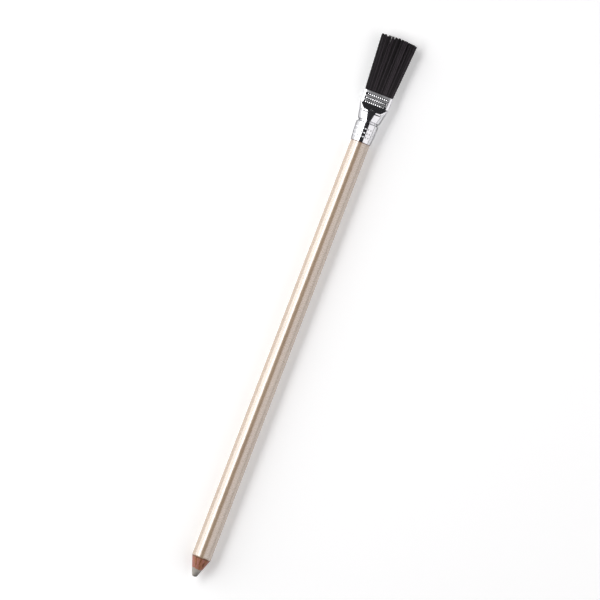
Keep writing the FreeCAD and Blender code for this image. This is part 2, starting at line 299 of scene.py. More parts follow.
def stretched_noise(tree, stretch, detail=3.0, roughness=0.5, distortion=0.0):
    """Noise over the object's own coordinates, with this many waves per metre along X, Y and Z."""
    place = add_node(tree, "TexCoord")
    mapping = add_node(tree, "Mapping", Vector=place.outputs["Object"], Scale=stretch)
    texture = add_node(
        tree,
        "TexNoise",
        Vector=mapping.outputs["Vector"],
        Scale=1.0,
        Detail=detail,
        Roughness=roughness,
        Distortion=distortion,
    )
    return texture.outputs["Fac"]


def even_noise(tree, waves, detail=3.0, roughness=0.5):
    return stretched_noise(tree, (waves, waves, waves), detail, roughness)


def ramp(tree, factor, stops):
    """Colours between these (position, colour) stops."""
    node = add_node(tree, "ValToRGB", Fac=factor)
    elements = node.color_ramp.elements
    while len(elements) < len(stops):
        elements.new(0.5)
    for element, (position, colour) in zip(elements, stops):
        element.position = position
        element.color = rgba(colour)
    return node.outputs["Color"]


def mapped(tree, value, low, high, from_low=0.3, from_high=0.7):
    """Value spread from one range to another, and kept inside it."""
    node = add_node(
        tree, "MapRange", Value=value, From_Min=from_low, From_Max=from_high, To_Min=low, To_Max=high
    )
    return node.outputs["Result"]


def blended(tree, factor, first, second, kind="MIX"):
    """Two colours mixed. Each is a colour or a socket."""
    node = tree.nodes.new("ShaderNodeMix")
    node.data_type = "RGBA"
    node.blend_type = kind
    factor_input, first_input, second_input, colour_output = 0, 6, 7, 2
    for number, value in ((factor_input, factor), (first_input, first), (second_input, second)):
        fill_socket(tree, node.inputs[number], value)
    return node.outputs[colour_output]


def bumped(tree, height, strength, depth):
    """A normal from a height of 0 to 1 that stands for this depth in metres."""
    node = add_node(tree, "Bump", Height=height, Strength=strength, Distance=depth)
    return node.outputs["Normal"]


def along_axis(tree, axis, start, end):
    """0 to 1 along an axis of the row frame between two places, in mm."""
    place = add_node(tree, "TexCoord")
    parts = add_node(tree, "SeparateXYZ", Vector=place.outputs["Object"])
    return mapped(tree, parts.outputs[axis], 0.0, 1.0, start * MM, end * MM)


def along_pencil(tree, start_u, end_u):
    """0 to 1 along the pencil between two places on it, in mm from the ferrule's lower edge."""
    return along_axis(tree, "X", start_u + EDGE_X, end_u + EDGE_X)


def arithmetic(tree, operation, first, second):
    """The product, the sum or the higher of two values. Each is a number or a socket."""
    node = add_node(tree, "Math", {"operation": operation})
    for socket, value in zip(node.inputs, (first, second)):
        fill_socket(tree, socket, value)
    return node.outputs["Value"]


def lacquer_material(settings):
    """Pearly champagne lacquer under a clear gloss coat, with a thin band of painted shade at the ferrule's
    lower edge.
    """
    material, tree, shader = new_material(
        "pearl_lacquer",
        IOR=2.5,
        Specular_IOR_Level=0.75,
        Coat_Weight=0.4,
        Coat_Roughness=0.1,
    )
    drift = even_noise(tree, 90.0, 2.0)
    flakes = even_noise(tree, 9000.0, 1.0)
    tone = ramp(tree, drift, [(0.35, settings.colour), (0.68, settings.pearl)])
    glint = ramp(tree, flakes, [(0.3, toned(WHITE, 0.96)), (0.7, WHITE)])
    # Painted shade: over the last 0.3 mm before its end at the ferrule, the lacquer takes the ground coat's
    # dark colour, where the joint's crevice lies in shadow.
    joint_shade = along_pencil(tree, COAT_END_U - 0.3, COAT_END_U - 0.12)
    fill_inputs(
        tree,
        shader,
        Base_Color=blended(tree, joint_shade, blended(tree, 1.0, tone, glint, "MULTIPLY"), rgba(settings.ground)),
        Roughness=mapped(tree, flakes, 0.25, 0.3),
        Normal=bumped(tree, even_noise(tree, 650.0, 2.0), 0.25, 0.00002),
    )
    return material


def ground_material(settings):
    """Dull ground coat that the cut edge of the lacquer shows."""
    material, tree, shader = new_material("ground_coat", Specular_IOR_Level=0.3)
    fibres = stretched_noise(tree, (400.0, 4000.0, 4000.0), 2.0)
    dark = toned(settings.ground, 0.7)
    fill_inputs(
        tree,
        shader,
        Base_Color=ramp(tree, fibres, [(0.35, dark), (0.65, settings.ground)]),
        Roughness=mapped(tree, fibres, 0.5, 0.65),
    )
    return material


def cedar_material(settings):
    """Bare sharpened cedar with its grain along the pencil."""
    material, tree, shader = new_material("sharpened_cedar", Specular_IOR_Level=0.3)
    bands = stretched_noise(tree, (55.0, 900.0, 900.0), 3.0, 0.55, 0.4)
    fibres = stretched_noise(tree, (220.0, 5200.0, 5200.0), 3.0, 0.6)
    grain = ramp(
        tree,
        bands,
        [(0.36, settings.cedar_dark), (0.46, settings.cedar_warm), (0.58, settings.cedar_light)],
    )
    fine = ramp(tree, fibres, [(0.35, (0.72, 0.66, 0.62)), (0.6, (1.05, 1.03, 1.02))])
    fill_inputs(
        tree,
        shader,
        Base_Color=blended(tree, 1.0, grain, fine, "MULTIPLY"),
        Roughness=mapped(tree, fibres, 0.5, 0.72),
        Normal=bumped(tree, fibres, 0.6, 0.00003),
    )
    return material


def eraser_material(settings):
    """Gritty grey-white eraser stock, smudged dark at the worn tip, with painted shade on the tip's side
    away from the key lamp.
    """
    material, tree, shader = new_material("eraser_stock", Roughness=0.85, Specular_IOR_Level=0.25)
    grit = even_noise(tree, 7000.0, 3.0, 0.7)
    patches = even_noise(tree, 900.0, 3.0, 0.6)
    # Patches near the tip are darkened by smudges from rubbing, mostly on the −Y side. Keeping them to that
    # side, away from the key lamp, is painted shade.
    near_tip = along_pencil(tree, TIP_U + 2.9, TIP_U + 0.1)
    side_away_from_key = along_axis(tree, "Y", 1.6, -0.7)
    tip_smudge_and_shade = arithmetic(tree, "MULTIPLY", arithmetic(tree, "MULTIPLY", near_tip, patches), side_away_from_key)
    dirt_and_shade = mapped(tree, tip_smudge_and_shade, 0.0, 0.95, 0.12, 0.42)
    clean = ramp(tree, grit, [(0.3, toned(settings.core_colour, 0.7)), (0.6, settings.core_colour)])
    fill_inputs(
        tree,
        shader,
        Base_Color=blended(tree, dirt_and_shade, clean, rgba(settings.smudge_and_shade_colour)),
        Normal=bumped(tree, grit, 0.5, 0.00004),
    )
    return material


def metal_material(settings):
    """Bright plated sheet, duller where it was pressed."""
    dark_edge = (0.05, 0.05, 0.05)
    material, tree, shader = new_material("bright_plate", Metallic=1.0, Specular_Tint=rgba(dark_edge))
    pressed = add_node(tree, "Attribute", {"attribute_name": "pressed"}).outputs["Fac"]
    smears = even_noise(tree, 420.0, 3.0, 0.6)
    scratches = stretched_noise(tree, (350.0, 7000.0, 7000.0), 2.0, 0.6)
    polish = mapped(tree, smears, 0.07, 0.15)
    dull = mapped(tree, pressed, 0.0, 0.24, 0.0, 1.0)
    dented = add_node(
        tree,
        "Bump",
        Height=even_noise(tree, 260.0, 1.0),
        Strength=0.5,
        Distance=0.00006,
        Normal=bumped(tree, scratches, 0.12, 0.000006),
    ).outputs["Normal"]
    fill_inputs(
        tree,
        shader,
        Base_Color=ramp(tree, smears, [(0.35, toned(settings.colour, 0.94)), (0.65, settings.colour)]),
        Roughness=arithmetic(tree, "ADD", polish, dull),
        Normal=dented,
    )
    return material


def bristle_material(settings):
    """Near-black filaments, each a little different."""
    material, tree, shader = new_material("black_filament", Specular_IOR_Level=0.3)
    shade = add_node(tree, "Attribute", {"attribute_name": "shade"}).outputs["Fac"]
    streaks = stretched_noise(tree, (160.0, 4200.0, 4200.0), 2.0)
    dark = toned(settings.colour, 0.3)
    light = toned(settings.colour, 5.0)
    fill_inputs(
        tree,
        shader,
        Base_Color=ramp(tree, shade, [(0.1, dark), (0.5, settings.colour), (0.95, light)]),
        Roughness=mapped(tree, streaks, 0.42, 0.6),
    )
    return material


def cement_material():
    """Dark cast resin behind the bristles."""
    dark_resin = (0.035, 0.024, 0.016)
    brown_resin = (0.06, 0.042, 0.028)
    material, tree, shader = new_material("cast_cement", Specular_IOR_Level=0.5)
    cloud = even_noise(tree, 1500.0, 3.0)
    fill_inputs(
        tree,
        shader,
        Base_Color=ramp(tree, cloud, [(0.35, dark_resin), (0.65, brown_resin)]),
        Roughness=mapped(tree, cloud, 0.3, 0.45),
    )
    return material


def in_row_frame(points):
    """Points in mm from the ferrule's lower edge on the pencil's axis, as metres in the row frame."""
    return (points + PENCIL_ORIGIN) * MM


def grid_faces(rows, columns, close_rows=False, close_columns=True):
    """Quads of a grid of vertices, row by row, that may close on itself either way."""
    row = np.arange(rows if close_rows else rows - 1)[:, None]
    column = np.arange(columns if close_columns else columns - 1)[None, :]
    after_row = (row + 1) % rows
    after_column = (column + 1) % columns
    corners = [
        row * columns + column,
        row * columns + after_column,
        after_row * columns + after_column,
        after_row * columns + column,
    ]
    return np.stack(corners, axis=-1).reshape(-1, 4).tolist()


def capped_grid_faces(rows, columns):
    """Quads of a tube of vertices, with a face over each end."""
    first = list(range(columns))[::-1]
    last = [(rows - 1) * columns + column for column in range(columns)]
    return grid_faces(rows, columns) + [first, last]


def around(radius, angle):
    """Y and Z at this distance and angle from the pencil's axis."""
    return radius * np.cos(angle), radius * np.sin(angle)


def turned_points(u, radius, angles):
    """Points of a turned surface. u and radius have a row for each ring, of one value or one per angle."""
    u = np.broadcast_to(u, (len(u), len(angles)))
    radius = np.broadcast_to(radius, (len(radius), len(angles)))
    y, z = around(radius, angles[None, :])
    return np.stack([u, y, z], axis=-1).reshape(-1, 3)


def add_piece(name, points, faces, material, nodes, creases=math.radians(40)):
    """A closed piece from points in mm, which stands for these CAD nodes."""
    mesh = bpy.data.meshes.new(name)
    mesh.from_pydata(in_row_frame(points).tolist(), [], faces)
    edit = bmesh.new()
    edit.from_mesh(mesh)
    bmesh.ops.remove_doubles(edit, verts=edit.verts, dist=1e-7)
    if edit.calc_volume(signed=True) < 0:
        bmesh.ops.reverse_faces(edit, faces=edit.faces)
    edit.to_mesh(mesh)
    edit.free()
    mesh.shade_smooth()
    mesh.set_sharp_from_angle(angle=creases)
    mesh.materials.append(material)
    piece = bpy.data.objects.new(name, mesh)
    bpy.context.scene.collection.objects.link(piece)
    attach(piece, "root")
    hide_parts(*nodes)
    return piece


def ripple(angles, seed, waves, sharpness=1.0):
    """A fixed uneven line round the pencil, from 0 to 1."""
    chance = np.random.default_rng(seed)
    total = np.zeros_like(angles)
    for wave in waves:
        height = chance.uniform(0.4, 1.0) / math.sqrt(wave)
        total += height * np.sin(wave * angles + chance.uniform(0, TURN))
    total -= total.min()
    return (total / total.max()) ** sharpness


def cone_radius(u):
    """Radius of the sharpened cone here."""
    return CORE_RADIUS + (u - CASING_START_U) * CONE_SLOPE


def cone_place(radius):
    """Where the sharpened cone has this radius."""
    return CASING_START_U + (radius - CORE_RADIUS) / CONE_SLOPE


def worn_eraser_points(settings, rings_on_dome=14, rings_on_cone=22, rings_on_rod=12, columns=96):
    """Rings of the eraser core, from its worn tip to its end inside the ferrule."""
    dome_radius = (settings.tip_radius**2 + settings.tip_dome**2) / (2 * settings.tip_dome)
    dome_reach = math.asin(settings.tip_radius / dome_radius)
    first_turn = 0.04
    rounding = 0.12
    rod_start = 0.1
    turns = np.linspace(first_turn, 1.0, rings_on_dome) * dome_reach
    dome_u = TIP_U + dome_radius * (1 - np.cos(turns))
    dome_r = dome_radius * np.sin(turns)
    cone_u = np.linspace(
        cone_place(settings.tip_radius + rounding * CONE_SLOPE), cone_place(CORE_RADIUS), rings_on_cone
    )
    cone_r = cone_radius(cone_u)
    rod_u = np.linspace(cone_place(CORE_RADIUS) + rod_start, BARREL_END_U, rings_on_rod)
    u = np.concatenate([dome_u, cone_u, rod_u])
    r = np.concatenate([dome_r, cone_r, np.full(len(rod_u), CORE_RADIUS)])
    angles = np.linspace(0, TURN, columns, endpoint=False)
    points = turned_points(u[:, None], r[:, None], angles).reshape(len(u), columns, 3)
    for ring in points[: rings_on_dome + rings_on_cone]:
        for point in ring:
            wear_point(point, settings.tip_wear)
    return points.reshape(-1, 3), len(u), columns


def wear_point(point, depth):
    """Moves a point of the core in and back, as rubbing does, and less the further it is from the tip."""
    wear_reach = 0.9
    even_wear = 0.35
    push_back = 0.7
    blunting = 0.4
    place = Vector(point)
    layers = ((1.0, 1.3), (0.5, 3.1), (0.25, 7.0))
    dents = sum(share * noise.noise(place * waves) for share, waves in layers)
    worn = max(0.0, depth * (even_wear + dents) * math.exp(-(point[0] - TIP_U) / wear_reach))
    point[0] += worn * push_back
    point[1:] *= 1 - worn / (blunting + np.hypot(point[1], point[2]))


def casing_half(settings, side, columns=120, rings_on_cone=60, rings_on_rod=12):
    """Points and faces of one grooved half of the casing: side is 1 above and -1 below."""
    seam = 0.004
    coat_gap = 0.004
    core_gap = 0.02
    lip_gap = 0.004
    lip_length = 0.05
    start_gap = 0.02
    angles = np.linspace(seam, math.pi - seam, columns)
    if side < 0:
        angles = angles + math.pi
    ragged = settings.ragged_edge * ripple(angles, 5, (3, 7, 12, 19, 31, 46), 2.0)
    start_u = CASING_START_U + start_gap + ragged
    end_u = cone_place(WOOD_RADIUS)
    share = np.linspace(0, 1, rings_on_cone)[:, None]
    cone_u = start_u[None, :] + share * (end_u - start_u[None, :])
    slow_marks = np.sin(cone_u * 17.0 + 2.0 * np.sin(angles * 3.0))
    quick_marks = np.sin(cone_u * 31.0 + angles * 2.0)
    cone_r = cone_radius(cone_u) + settings.cutter_marks * (0.5 * slow_marks + 0.5 * quick_marks - 1.0)
    rod_u = np.linspace(end_u + 0.05, BARREL_END_U, rings_on_rod)[:, None] + np.zeros(columns)
    rod_r = np.full_like(rod_u, WOOD_RADIUS - coat_gap)
    groove_u = rod_u[::-1]
    groove_r = np.full_like(groove_u, CORE_RADIUS + core_gap)
    lip_u = start_u[None, :] + lip_length
    lip_r = np.full_like(lip_u, CORE_RADIUS + lip_gap)
    u = np.concatenate([cone_u, rod_u, groove_u, lip_u])
    r = np.concatenate([cone_r, rod_r, groove_r, lip_r])
    points = turned_points(u, r, angles)
    rows = len(u)
    faces = grid_faces(rows, columns, close_rows=True, close_columns=False)
    faces.append([row * columns for row in range(rows)])
    faces.append([row * columns + columns - 1 for row in range(rows)][::-1])
    return points, faces


def lacquer_mesh(settings, columns=192, rings_on_barrel=24, rings_on_end=5):
    """Points and faces of the lacquer coat. The last ring of faces is the ground coat on the cut."""
    angles = np.linspace(0, TURN, columns, endpoint=False)
    chips = settings.chipping * ripple(angles, 3, (2, 5, 9, 16, 27, 41), 1.6)
    rounding = settings.end_rounding
    cut_u = SHOULDER_U - GLOSS_THICKNESS / CONE_SLOPE
    wood_end_u = cone_place(WOOD_RADIUS)
    # The first four rings follow the chipped edge, and the fifth follows it less
    outer = [
        (cut_u, GROUND_RADIUS),
        (cut_u + 0.03, GROUND_RADIUS + 0.015),
        (SHOULDER_U, BARREL_RADIUS - 0.02),
        (SHOULDER_U + 0.05, BARREL_RADIUS),
    ]
    edge_rings = len(outer)
    fading_chips = 0.4
    outer += [(SHOULDER_U + step, BARREL_RADIUS) for step in (0.4, 1.2, 3.0)]
    outer += [(u, BARREL_RADIUS) for u in np.linspace(SHOULDER_U + 8, COAT_END_U - 3, rings_on_barrel)]
    for bend in np.linspace(0, math.pi / 2, rings_on_end):
        back = rounding * (1 - math.sin(bend))
        drop = rounding * (1 - math.cos(bend))
        outer.append((COAT_END_U - back, BARREL_RADIUS - drop))
    inner = [(u, WOOD_RADIUS) for u in (COAT_END_U, wood_end_u + 0.3, wood_end_u)]
    profile = np.array(outer + inner)
    u = profile[:, 0][:, None] + np.zeros(columns)
    u[:edge_rings] += chips
    u[edge_rings] += chips * fading_chips
    r = profile[:, 1][:, None] + np.zeros(columns)
    return turned_points(u, r, angles), grid_faces(len(profile), columns, close_rows=True), columns


def fade(value, start, end):
    """0 up to start, 1 from end on, and a straight line between them."""
    return np.clip((value - start) / (end - start), 0, 1)


def smooth_between(place, keys, values, softness, samples=9):
    """Values between keys in straight lines, with each bend rounded over this length."""
    steps = np.linspace(-softness, softness, samples)
    return np.mean([np.interp(place + step, keys, values) for step in steps], axis=0)


def ferrule_sections(settings, u):
    """Half width, half thickness and roundness of the ferrule's outline at each u."""
    s = settings
    groove_start = s.groove - s.groove_width / 2
    groove_end = s.groove + s.groove_width / 2
    groove_radius = s.tube_radius - s.groove_depth
    crease_start = s.crease - s.crease_width / 2
    crease_end = s.crease + s.crease_width / 2
    shoulder_u = crease_end + s.shoulder_bend
    flat_start = MOUTH_U - s.flat_length
    flat_half = s.mouth_width / 2 - s.mouth_flare
    # The lines run on past both ends, so that the rounding leaves the ends where they are
    overrun = 1.0
    low_taper = 0.09
    mouth_taper = 0.05
    bend_softness = 0.09
    power_softness = 0.4

    def flare(place):
        share = (place - groove_end) / (flat_start - groove_end)
        return s.tube_radius + share * (flat_half - s.tube_radius)

    outline = [
        (-overrun, s.edge_radius - low_taper, s.edge_radius - low_taper),
        (0.0, s.edge_radius, s.edge_radius),
        (s.bend, s.bend_radius, s.bend_radius),
        (groove_start, s.tube_radius, s.tube_radius),
        (s.groove - s.groove_floor / 2, groove_radius, groove_radius),
        (s.groove + s.groove_floor / 2, groove_radius, groove_radius),
        (groove_end, s.tube_radius, s.tube_radius),
        (crease_start, flare(crease_start), s.band_thickness / 2),
        (s.crease, flare(s.crease) - s.crease_depth, s.crease_thickness / 2 - s.crease_depth),
        (crease_end, flare(crease_end), s.shoulder_thickness / 2),
        (shoulder_u, flare(shoulder_u), s.shoulder_bend_thickness / 2),
        (flat_start, flat_half, s.mouth_thickness / 2),
        (MOUTH_U, s.mouth_width / 2, s.mouth_thickness / 2),
        (MOUTH_U + overrun, s.mouth_width / 2 + mouth_taper, s.mouth_thickness / 2),
    ]
    places, widths, thicknesses = np.array(outline).T
    round_power = 2.0
    power_places = [groove_end, crease_start, crease_end, flat_start]
    powers = [round_power, s.band_power, s.band_power, s.flat_power]
    return (
        smooth_between(u, places, widths, bend_softness),
        smooth_between(u, places, thicknesses, bend_softness),
        smooth_between(u, power_places, powers, power_softness),
    )


def section_points(half_width, half_thickness, power, angle):
    """Y and Z of superellipses: power 2 is an ellipse, and a higher power is nearer to a rectangle."""
    ray_y = half_width * np.cos(angle)
    ray_z = half_thickness * np.sin(angle)
    reach = (np.abs(np.cos(angle)) ** power + np.abs(np.sin(angle)) ** power) ** (-1 / power)
    return ray_y * reach, ray_z * reach


def outline_normals(y, z):
    """Outward normals, in Y and Z, of closed outlines, one to a row."""
    step_y = np.roll(y, -1, axis=1) - np.roll(y, 1, axis=1)
    step_z = np.roll(z, -1, axis=1) - np.roll(z, 1, axis=1)
    length = np.hypot(step_y, step_z)
    return step_z / length, -step_y / length


def dimple(distance):
    """Depth of a round-bottomed dent, from 1 at its middle to 0 where distance is 1."""
    return np.clip(1 - distance**2, 0, 1) ** 1.5


def prick_depths(settings, u, angle):
    """How deep the prick marks are at each place of the skirt."""
    depth = np.zeros(np.broadcast(u, angle).shape)
    spacing = TURN / settings.pricks_per_ring
    off_middle = (angle + spacing / 2) % spacing - spacing / 2
    across = off_middle * settings.bend_radius
    for ring in range(settings.prick_rings):
        along = u - (settings.first_prick_ring + settings.prick_ring_pitch * ring)
        distance = np.hypot(along, across) / (settings.prick_size / 2)
        depth += settings.prick_depth * dimple(distance)
    return depth


def tooth_depths(settings, u, y, normal_z):
    """How deep the crimp teeth are at each place of the flats, and which places lie beside their rows."""
    depth = np.zeros_like(y)
    beside = np.ones_like(y)
    flat_facing = 0.99
    strip_blur = 0.14
    row_narrowing = 0.05
    strip_half = settings.polished_strip / 2
    for row in range(settings.tooth_rows):
        row_u = MOUTH_U - settings.first_tooth_row - settings.tooth_row_pitch * row
        side_limit = settings.mouth_width / 2 - settings.tooth_margin - row_narrowing * row
        beside *= fade(np.abs(u - row_u), strip_half, strip_half + strip_blur)
        for column in range(settings.tooth_columns):
            off_middle = column - (settings.tooth_columns - 1) / 2
            across = settings.tooth_shift + off_middle * settings.tooth_pitch
            if abs(across) > side_limit:
                continue
            side = np.where(normal_z > 0, across, -across)
            distance = 2 * np.hypot((u - row_u) / settings.tooth_length, (y - side) / settings.tooth_width)
            depth += settings.tooth_depth * dimple(distance)
    return depth * (np.abs(normal_z) > flat_facing), beside


def ferrule_mesh(settings, columns=300, edge_rings=5, skirt_rings=74, body_rings=170):
    """Points and faces of the ferrule, and how hard each point was pressed."""
    flat_start = MOUTH_U - settings.flat_length
    rounding = settings.edge_rounding
    low_edge = rounding * (1 - np.cos(np.linspace(0, math.pi / 2, edge_rings)))
    skirt_span = (0.22, 6.85)
    body_span = (6.92, MOUTH_U - 0.2)
    u = np.concatenate(
        [
            low_edge,
            np.linspace(*skirt_span, skirt_rings),
            np.linspace(*body_span, body_rings),
            MOUTH_U - low_edge[::-1],
        ]
    )
    # The points stand closer together over the flats, for the teeth
    gathered = 0.22
    even = np.linspace(0, TURN, columns, endpoint=False)
    angle = even + gathered * np.sin(2 * even)
    half_width, half_thickness, power = ferrule_sections(settings, u)
    y, z = section_points(half_width[:, None], half_thickness[:, None], power[:, None], angle[None, :])
    normal_y, normal_z = outline_normals(y, z)
    grid_u = np.broadcast_to(u[:, None], y.shape)
    on_skirt = grid_u < settings.groove - settings.groove_width / 2
    depth = np.where(on_skirt, prick_depths(settings, grid_u, np.arctan2(z, y)), 0.0)
    teeth, beside_teeth = tooth_depths(settings, grid_u, y, normal_z)
    depth += np.where(grid_u > flat_start, teeth, 0.0)
    to_edge = np.minimum(grid_u, MOUTH_U - grid_u)
    depth += rounding * (1 - np.sqrt(1 - np.clip(1 - to_edge / rounding, 0, 1) ** 2))
    outer = np.stack([grid_u, y - normal_y * depth, z - normal_z * depth], axis=-1)
    inner = np.stack([grid_u, y - normal_y * settings.wall, z - normal_z * settings.wall], axis=-1)
    # Inside, every fourth ring is enough, and the lowest one
    inner = np.concatenate([inner[::-4], inner[:1]])
    points = np.concatenate([outer, inner])
    panel_start = flat_start + 0.1
    panel_fade = 0.3
    pressed = fade(grid_u, panel_start, panel_start + panel_fade) * fade(np.abs(normal_z), 0.95, 0.99)
    pressed = np.concatenate([pressed * beside_teeth, np.zeros(inner.shape[:2])])
    return points.reshape(-1, 3), grid_faces(len(points), columns, close_rows=True), pressed.ravel()


def paint_points(mesh, name, values):
    """Stores a value for each point of the mesh."""
    layer = mesh.attributes.new(name, "FLOAT", "POINT")
    layer.data.foreach_set("value", np.asarray(values, dtype=np.float32))


def fan_slope(settings):
    """How fast the bundle's half width grows along the bristles."""
    return (settings.tip_half_width - settings.mouth_half_width) / (TUFT_END_U - MOUTH_U)


def butt_sizes(settings):
    """Half width and half thickness of the bundle at the butts, in the cement."""
    half_width = settings.mouth_half_width - (MOUTH_U - BUTT_U) * fan_slope(settings)
    return half_width, settings.mouth_half_thickness * 0.9


def filament_roots(settings):
    """Places of the close-packed filaments, as shares of the bundle's half width and half thickness."""
    butt_half, butt_thick = butt_sizes(settings)
    row_pitch = settings.spacing * math.sqrt(3) / 2
    rows = int(butt_thick / row_pitch)
    roots = []
    for row in range(-rows, rows + 1):
        z = row * row_pitch
        room = butt_half - butt_thick + math.sqrt(butt_thick**2 - z**2)
        count = int(2 * room / settings.spacing)
        for number in range(count):
            y = (number + 0.5 - count / 2) * settings.spacing
            roots.append((y / butt_half, z / butt_thick))
    return np.array(roots)


def strand_numbers(across, through, chance, layers=4, strands_per_lock=4):
    """The strand that each filament clings to, that strand's middle, and the number of strands."""
    per_layer = strands_per_lock * LOCK_COUNT
    layer_shift = 0.27
    straying = 0.2
    layer = np.clip(((through + 1) / 2 * layers).astype(int), 0, layers - 1)
    column = (across + 1) / 2 * per_layer + layer_shift * layer + chance.normal(0, straying, len(across))
    strand = np.clip(column.astype(int), 0, per_layer) + (per_layer + 1) * layer
    middle = (strand % (per_layer + 1) + 0.5 - layer_shift * layer) * 2 / per_layer - 1
    return strand, middle, layers * (per_layer + 1)


def filament_lines(settings, chance):
    """Centre line of each filament, its lock and its shade."""
    across, through = filament_roots(settings).T
    count = len(across)
    lock = np.clip(((across + 1) / 2 * LOCK_COUNT).astype(int), 0, LOCK_COUNT - 1)
    lock_middle = (lock + 0.5) * 2 / LOCK_COUNT - 1
    off_middle = (across - lock_middle) * LOCK_COUNT
    strand, strand_middle, strands = strand_numbers(across, through, chance)
    # From 0 on the side that kept its shape to 1 on the side that use has worn
    worn = 1 / (1 + np.exp(-6 * (across + 0.05)))
    pull = worn * settings.gathering * chance.uniform(0.4, 1.0, LOCK_COUNT)[lock]
    lean = chance.normal(0, 0.13, strands)[strand] * (0.5 + worn)
    rise = chance.normal(0, 0.22, strands)[strand]
    full_length = TUFT_END_U - MOUTH_U
    length = full_length - 0.05 - settings.crown * np.abs(across) ** 1.3 + settings.slant * across
    notch_depth = settings.raggedness * chance.uniform(0.4, 1.0, LOCK_COUNT)[lock]
    notch = notch_depth * worn * np.abs(off_middle) ** 2.2
    scatter = settings.scatter * chance.random(count) ** 1.5 * (0.35 + worn)
    uneven = 0.2 * chance.random(strands)[strand]
    reach = length - notch - scatter - uneven
    bend = chance.normal(0, 0.05, count)
    lift = chance.normal(0, 0.06, count)
    butt_half, butt_thick = butt_sizes(settings)
    lines = [np.stack([np.full(count, BUTT_U), across * butt_half, through * butt_thick], axis=-1)]
    # Just beyond the mouth the bundle swells, and then it fans out evenly
    swelling = 0.24
    swollen = 0.02
    strand_cling = 0.35
    for share in (0.0, swollen, 0.1, 0.25, 0.42, 0.6, 0.8, 1.0):
        far = share * reach / full_length
        mouth_half = settings.mouth_half_width + swelling * min(share / swollen, 1)
        half_width = mouth_half + far * (settings.tip_half_width - mouth_half)
        mouth_thick = settings.mouth_half_thickness
        half_thick = mouth_thick + far * (settings.tip_half_thickness - mouth_thick)
        side_limit = half_width - settings.filament / 2
        thick_limit = half_thick - settings.filament / 2
        drawn = across + pull * (lock_middle - across) * share**3
        drawn += strand_cling * (strand_middle - across) * share**1.5
        y = np.clip(drawn * side_limit + (lean + bend) * share**2, -side_limit, side_limit)
        z = np.clip(through * thick_limit + (rise + lift) * share**1.5, -thick_limit, thick_limit)
        lines.append(np.stack([MOUTH_U + share * reach, y, z], axis=-1))
    shade = chance.normal(0.5, 0.12, count) + chance.normal(0, 0.28, strands)[strand]
    return np.stack(lines, axis=1), lock, np.clip(shade, 0, 1)


def filament_points(line, radius, sides):
    """Rings of points round one filament's centre line, the last one a little smaller."""
    tip_taper = 0.82
    angles = np.arange(sides) * TURN / sides
    ring = np.stack([np.zeros(sides), np.cos(angles), np.sin(angles)], axis=-1)
    radii = np.full(len(line), radius)
    radii[-1] *= tip_taper
    return (line[:, None, :] + ring[None, :, :] * radii[:, None, None]).reshape(-1, 3)


class PENCIL_OT_add_eraser(bpy.types.Operator):
    """Adds the worn eraser core"""

    bl_idname = "pencil.add_eraser"
    bl_label = "Add Eraser Core"

    def execute(self, context):
        settings = context.scene.pencil.point
        points, rows, columns = worn_eraser_points(settings)
        faces = capped_grid_faces(rows, columns)
        material = eraser_material(settings)
        add_piece("worn_eraser_core", points, faces, material, ["eraser_core"])
        return {"FINISHED"}


class PENCIL_OT_add_casing(bpy.types.Operator):
    """Adds both halves of the sharpened casing"""

    bl_idname = "pencil.add_casing"
    bl_label = "Add Casing"

    def execute(self, context):
        settings = context.scene.pencil.point
        material = cedar_material(settings)
        for name, node, side in (
            ("casing_half_upper", "casing_slat_upper", 1),
            ("casing_half_lower", "casing_slat_lower", -1),
        ):
            points, faces = casing_half(settings, side)
            add_piece(name, points, faces, material, [node])
        return {"FINISHED"}


class PENCIL_OT_add_lacquer(bpy.types.Operator):
    """Adds the lacquer coat"""

    bl_idname = "pencil.add_lacquer"
    bl_label = "Add Lacquer"

    def execute(self, context):
        settings = context.scene.pencil.lacquer
        points, faces, ring = lacquer_mesh(settings)
        material = lacquer_material(settings)
        piece = add_piece("barrel_lacquer", points, faces, material, ["lacquer_coat"])
        piece.data.materials.append(ground_material(settings))
        for face in piece.data.polygons[len(faces) - ring :]:
            face.material_index = 1
        return {"FINISHED"}


class PENCIL_OT_add_ferrule(bpy.types.Operator):
    """Adds the pressed ferrule"""

    bl_idname = "pencil.add_ferrule"
    bl_label = "Add Ferrule"

    def execute(self, context):
        settings = context.scene.pencil.ferrule
        points, faces, pressed = ferrule_mesh(settings)
        material = metal_material(settings)
        piece = add_piece("pressed_ferrule", points, faces, material, ["ferrule"])
        paint_points(piece.data, "pressed", pressed)
        return {"FINISHED"}


class PENCIL_OT_add_cement(bpy.types.Operator):
    """Finishes the cement that holds the bristles' butts"""

    bl_idname = "pencil.add_cement"
    bl_label = "Finish Cement"

    def execute(self, context):
        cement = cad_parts["bristle_cement"]
        cement.data.materials.clear()
        cement.data.materials.append(cement_material())
        return {"FINISHED"}


class PENCIL_OT_add_bristles(bpy.types.Operator):
    """Adds the tuft, one piece for each lock of bristles"""

    bl_idname = "pencil.add_bristles"
    bl_label = "Add Bristles"

    def execute(self, context):
        settings = context.scene.pencil.tuft
        chance = np.random.default_rng(settings.seed)
        lines, lock_of, shade = filament_lines(settings, chance)
        material = bristle_material(settings)
        sides = 5
        rows = lines.shape[1]
        tube = capped_grid_faces(rows, sides)
        for number, node in enumerate(LOCKS):
            members = np.flatnonzero(lock_of == number)
            points = [filament_points(lines[member], settings.filament / 2, sides) for member in members]
            starts = np.arange(len(members)) * rows * sides
            faces = [[corner + start for corner in face] for start in starts for face in tube]
            name = f"bristles_{number + 1:02d}"
            piece = add_piece(name, np.concatenate(points), faces, material, [node])
            paint_points(piece.data, "shade", np.repeat(shade[members], rows * sides))
        return {"FINISHED"}


